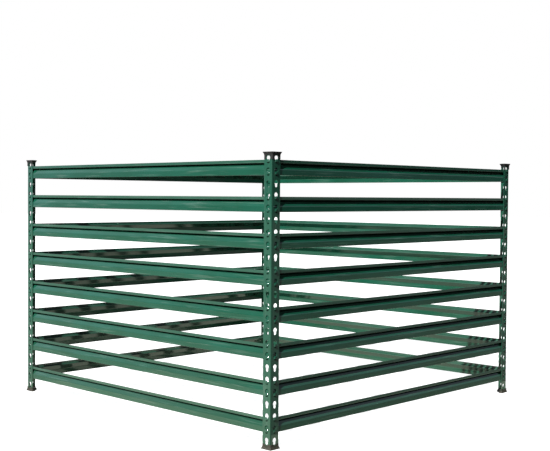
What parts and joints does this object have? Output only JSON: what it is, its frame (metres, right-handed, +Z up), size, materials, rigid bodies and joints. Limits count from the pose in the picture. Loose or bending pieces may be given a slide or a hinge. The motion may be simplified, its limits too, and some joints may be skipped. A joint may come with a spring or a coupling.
{
  "type": "compost bin",
  "caption": "Square open-topped slatted steel compost bin: rails with riveted ends hook into keyholes in folded corner posts that have flared plastic caps and feet.",
  "frame": {"origin": "on the ground, under the middle of the bin", "axes": "+Z up; the four walls face -Y (front), +X (right), +Y (back) and -X (left), and the picture's nearest corner is at +X, -Y"},
  "size_m": [1.207, 1.207, 0.8112],
  "materials": {
    "post_paint": "satin dark green powder coat on folded steel sheet",
    "rail_paint": "satin dark green powder coat on rolled steel sheet",
    "cap_plastic": "matt near-black moulded plastic",
    "foot_plastic": "matt near-black moulded plastic, dusty from the ground"
  },
  "bodies": {
    "corner_frame": {"post_front_left": "post_paint", "post_front_right": "post_paint", "post_back_right": "post_paint", "post_back_left": "post_paint", "cap_front_left": "cap_plastic", "cap_front_right": "cap_plastic", "cap_back_right": "cap_plastic", "cap_back_left": "cap_plastic", "foot_front_left": "foot_plastic", "foot_front_right": "foot_plastic", "foot_back_right": "foot_plastic", "foot_back_left": "foot_plastic"},
    "rail_front_1": {"rail_front_1": "rail_paint"},
    "rail_front_2": {"rail_front_2": "rail_paint"},
    "rail_front_3": {"rail_front_3": "rail_paint"},
    "rail_front_4": {"rail_front_4": "rail_paint"},
    "rail_front_5": {"rail_front_5": "rail_paint"},
    "rail_front_6": {"rail_front_6": "rail_paint"},
    "rail_front_7": {"rail_front_7": "rail_paint"},
    "rail_front_8": {"rail_front_8": "rail_paint"},
    "rail_right_1": {"rail_right_1": "rail_paint"},
    "rail_right_2": {"rail_right_2": "rail_paint"},
    "rail_right_3": {"rail_right_3": "rail_paint"},
    "rail_right_4": {"rail_right_4": "rail_paint"},
    "rail_right_5": {"rail_right_5": "rail_paint"},
    "rail_right_6": {"rail_right_6": "rail_paint"},
    "rail_right_7": {"rail_right_7": "rail_paint"},
    "rail_right_8": {"rail_right_8": "rail_paint"},
    "rail_back_1": {"rail_back_1": "rail_paint"},
    "rail_back_2": {"rail_back_2": "rail_paint"},
    "rail_back_3": {"rail_back_3": "rail_paint"},
    "rail_back_4": {"rail_back_4": "rail_paint"},
    "rail_back_5": {"rail_back_5": "rail_paint"},
    "rail_back_6": {"rail_back_6": "rail_paint"},
    "rail_back_7": {"rail_back_7": "rail_paint"},
    "rail_back_8": {"rail_back_8": "rail_paint"},
    "rail_left_1": {"rail_left_1": "rail_paint"},
    "rail_left_2": {"rail_left_2": "rail_paint"},
    "rail_left_3": {"rail_left_3": "rail_paint"},
    "rail_left_4": {"rail_left_4": "rail_paint"},
    "rail_left_5": {"rail_left_5": "rail_paint"},
    "rail_left_6": {"rail_left_6": "rail_paint"},
    "rail_left_7": {"rail_left_7": "rail_paint"},
    "rail_left_8": {"rail_left_8": "rail_paint"}
  },
  "joints": [
    {"name": "lift_front_1", "type": "slide", "parent": "corner_frame", "child": "rail_front_1", "axis": [0, 0, 1], "range_m": [0, 0.0095]},
    {"name": "lift_front_2", "type": "slide", "parent": "corner_frame", "child": "rail_front_2", "axis": [0, 0, 1], "range_m": [0, 0.0095]},
    {"name": "lift_front_3", "type": "slide", "parent": "corner_frame", "child": "rail_front_3", "axis": [0, 0, 1], "range_m": [0, 0.0095]},
    {"name": "lift_front_4", "type": "slide", "parent": "corner_frame", "child": "rail_front_4", "axis": [0, 0, 1], "range_m": [0, 0.0095]},
    {"name": "lift_front_5", "type": "slide", "parent": "corner_frame", "child": "rail_front_5", "axis": [0, 0, 1], "range_m": [0, 0.0095]},
    {"name": "lift_front_6", "type": "slide", "parent": "corner_frame", "child": "rail_front_6", "axis": [0, 0, 1], "range_m": [0, 0.0095]},
    {"name": "lift_front_7", "type": "slide", "parent": "corner_frame", "child": "rail_front_7", "axis": [0, 0, 1], "range_m": [0, 0.0095]},
    {"name": "lift_front_8", "type": "slide", "parent": "corner_frame", "child": "rail_front_8", "axis": [0, 0, 1], "range_m": [0, 0.0095]},
    {"name": "lift_right_1", "type": "slide", "parent": "corner_frame", "child": "rail_right_1", "axis": [0, 0, 1], "range_m": [0, 0.0095]},
    {"name": "lift_right_2", "type": "slide", "parent": "corner_frame", "child": "rail_right_2", "axis": [0, 0, 1], "range_m": [0, 0.0095]},
    {"name": "lift_right_3", "type": "slide", "parent": "corner_frame", "child": "rail_right_3", "axis": [0, 0, 1], "range_m": [0, 0.0095]},
    {"name": "lift_right_4", "type": "slide", "parent": "corner_frame", "child": "rail_right_4", "axis": [0, 0, 1], "range_m": [0, 0.0095]},
    {"name": "lift_right_5", "type": "slide", "parent": "corner_frame", "child": "rail_right_5", "axis": [0, 0, 1], "range_m": [0, 0.0095]},
    {"name": "lift_right_6", "type": "slide", "parent": "corner_frame", "child": "rail_right_6", "axis": [0, 0, 1], "range_m": [0, 0.0095]},
    {"name": "lift_right_7", "type": "slide", "parent": "corner_frame", "child": "rail_right_7", "axis": [0, 0, 1], "range_m": [0, 0.0095]},
    {"name": "lift_right_8", "type": "slide", "parent": "corner_frame", "child": "rail_right_8", "axis": [0, 0, 1], "range_m": [0, 0.0095]},
    {"name": "lift_back_1", "type": "slide", "parent": "corner_frame", "child": "rail_back_1", "axis": [0, 0, 1], "range_m": [0, 0.0095]},
    {"name": "lift_back_2", "type": "slide", "parent": "corner_frame", "child": "rail_back_2", "axis": [0, 0, 1], "range_m": [0, 0.0095]},
    {"name": "lift_back_3", "type": "slide", "parent": "corner_frame", "child": "rail_back_3", "axis": [0, 0, 1], "range_m": [0, 0.0095]},
    {"name": "lift_back_4", "type": "slide", "parent": "corner_frame", "child": "rail_back_4", "axis": [0, 0, 1], "range_m": [0, 0.0095]},
    {"name": "lift_back_5", "type": "slide", "parent": "corner_frame", "child": "rail_back_5", "axis": [0, 0, 1], "range_m": [0, 0.0095]},
    {"name": "lift_back_6", "type": "slide", "parent": "corner_frame", "child": "rail_back_6", "axis": [0, 0, 1], "range_m": [0, 0.0095]},
    {"name": "lift_back_7", "type": "slide", "parent": "corner_frame", "child": "rail_back_7", "axis": [0, 0, 1], "range_m": [0, 0.0095]},
    {"name": "lift_back_8", "type": "slide", "parent": "corner_frame", "child": "rail_back_8", "axis": [0, 0, 1], "range_m": [0, 0.0095]},
    {"name": "lift_left_1", "type": "slide", "parent": "corner_frame", "child": "rail_left_1", "axis": [0, 0, 1], "range_m": [0, 0.0095]},
    {"name": "lift_left_2", "type": "slide", "parent": "corner_frame", "child": "rail_left_2", "axis": [0, 0, 1], "range_m": [0, 0.0095]},
    {"name": "lift_left_3", "type": "slide", "parent": "corner_frame", "child": "rail_left_3", "axis": [0, 0, 1], "range_m": [0, 0.0095]},
    {"name": "lift_left_4", "type": "slide", "parent": "corner_frame", "child": "rail_left_4", "axis": [0, 0, 1], "range_m": [0, 0.0095]},
    {"name": "lift_left_5", "type": "slide", "parent": "corner_frame", "child": "rail_left_5", "axis": [0, 0, 1], "range_m": [0, 0.0095]},
    {"name": "lift_left_6", "type": "slide", "parent": "corner_frame", "child": "rail_left_6", "axis": [0, 0, 1], "range_m": [0, 0.0095]},
    {"name": "lift_left_7", "type": "slide", "parent": "corner_frame", "child": "rail_left_7", "axis": [0, 0, 1], "range_m": [0, 0.0095]},
    {"name": "lift_left_8", "type": "slide", "parent": "corner_frame", "child": "rail_left_8", "axis": [0, 0, 1], "range_m": [0, 0.0095]}
  ]
}
